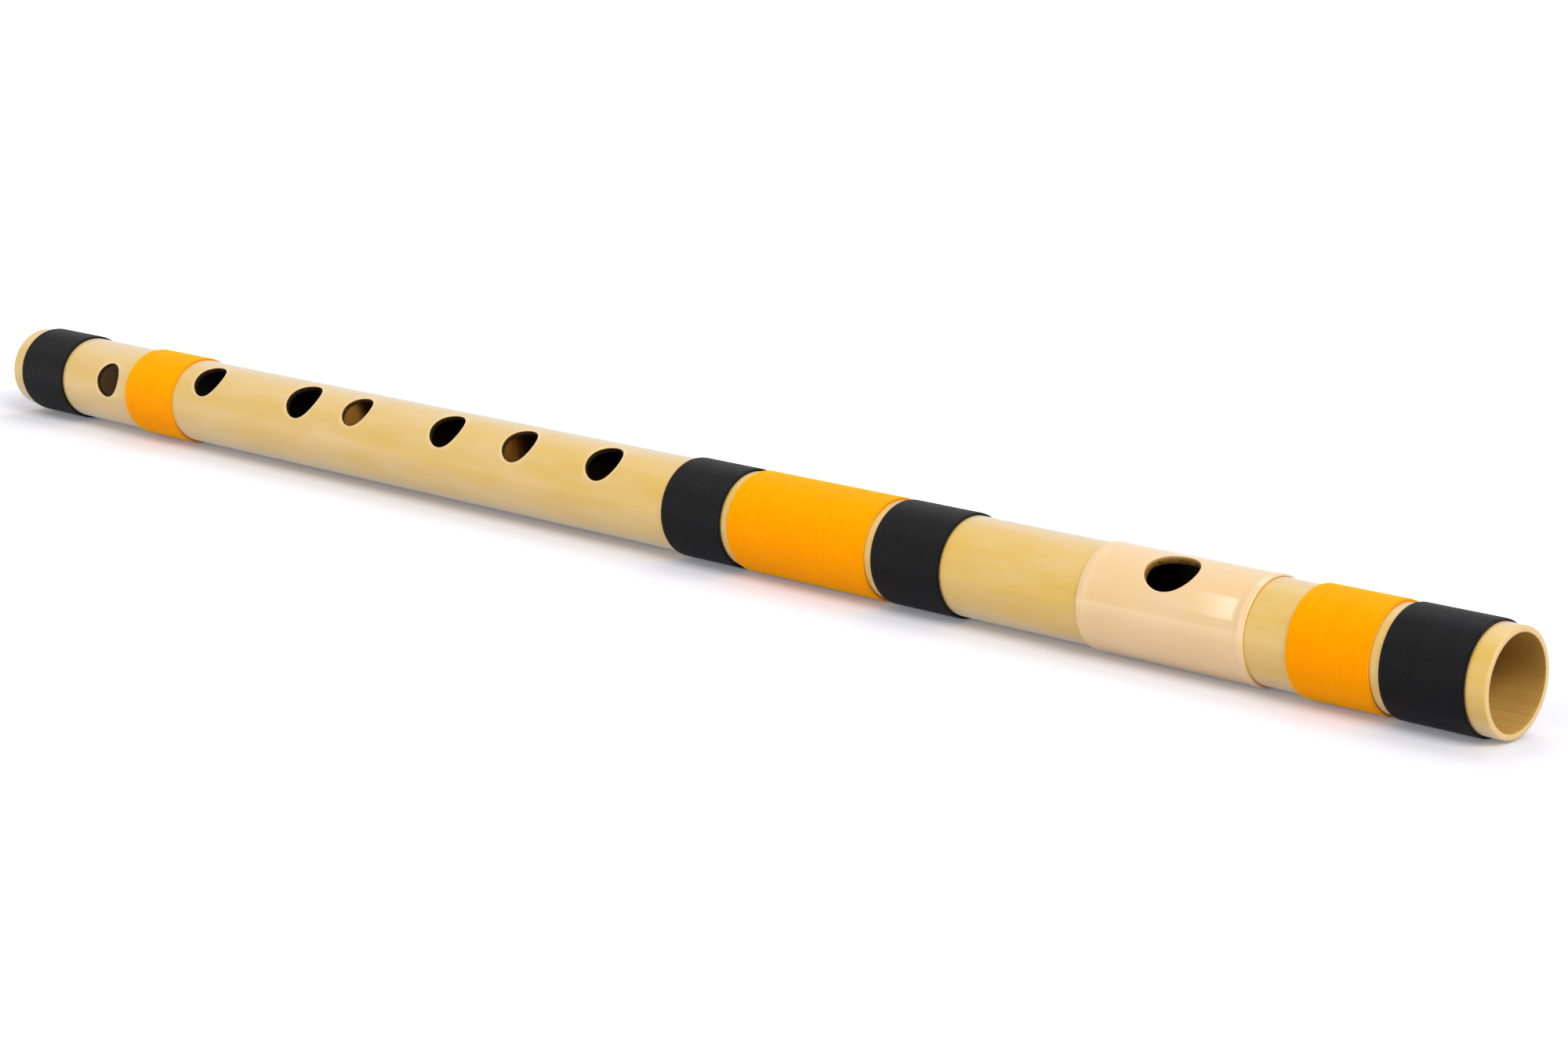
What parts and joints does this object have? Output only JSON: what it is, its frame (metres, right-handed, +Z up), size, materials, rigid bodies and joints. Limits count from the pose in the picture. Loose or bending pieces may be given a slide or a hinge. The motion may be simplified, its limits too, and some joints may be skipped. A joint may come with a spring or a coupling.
{
  "type": "bansuri flute",
  "caption": "Side-blown bamboo flute with a mouth hole in a glossy lip band, finger holes, a vent, coloured thread bindings and a sliding tuning cork.",
  "frame": {"origin": "on the table plane, below the middle of the tube", "axes": "+X along the tube towards the head rim, +Z up, with the finger holes turned from +Z towards -Y as the flute lies"},
  "size_m": [0.4846, 0.0238, 0.0239],
  "materials": {
    "bamboo": "satin bamboo skin with faint lengthwise grain",
    "cork": "natural cork",
    "cream_plastic": "glossy cream",
    "black_thread": "matte wound thread",
    "orange_thread": "silky wound thread"
  },
  "bodies": {
    "flute": {"bamboo_tube": "bamboo", "lip_band": "cream_plastic", "head_black_binding": "black_thread", "head_orange_binding": "orange_thread", "upper_black_binding": "black_thread", "middle_orange_binding": "orange_thread", "lower_black_binding": "black_thread", "foot_orange_binding": "orange_thread", "foot_black_binding": "black_thread"},
    "stopper": {"cork_stopper": "cork"}
  },
  "joints": [
    {"name": "cork_slide", "type": "slide", "parent": "flute", "child": "stopper", "axis": [1, 0, 0], "range_m": [-0.008, 0.012]}
  ]
}
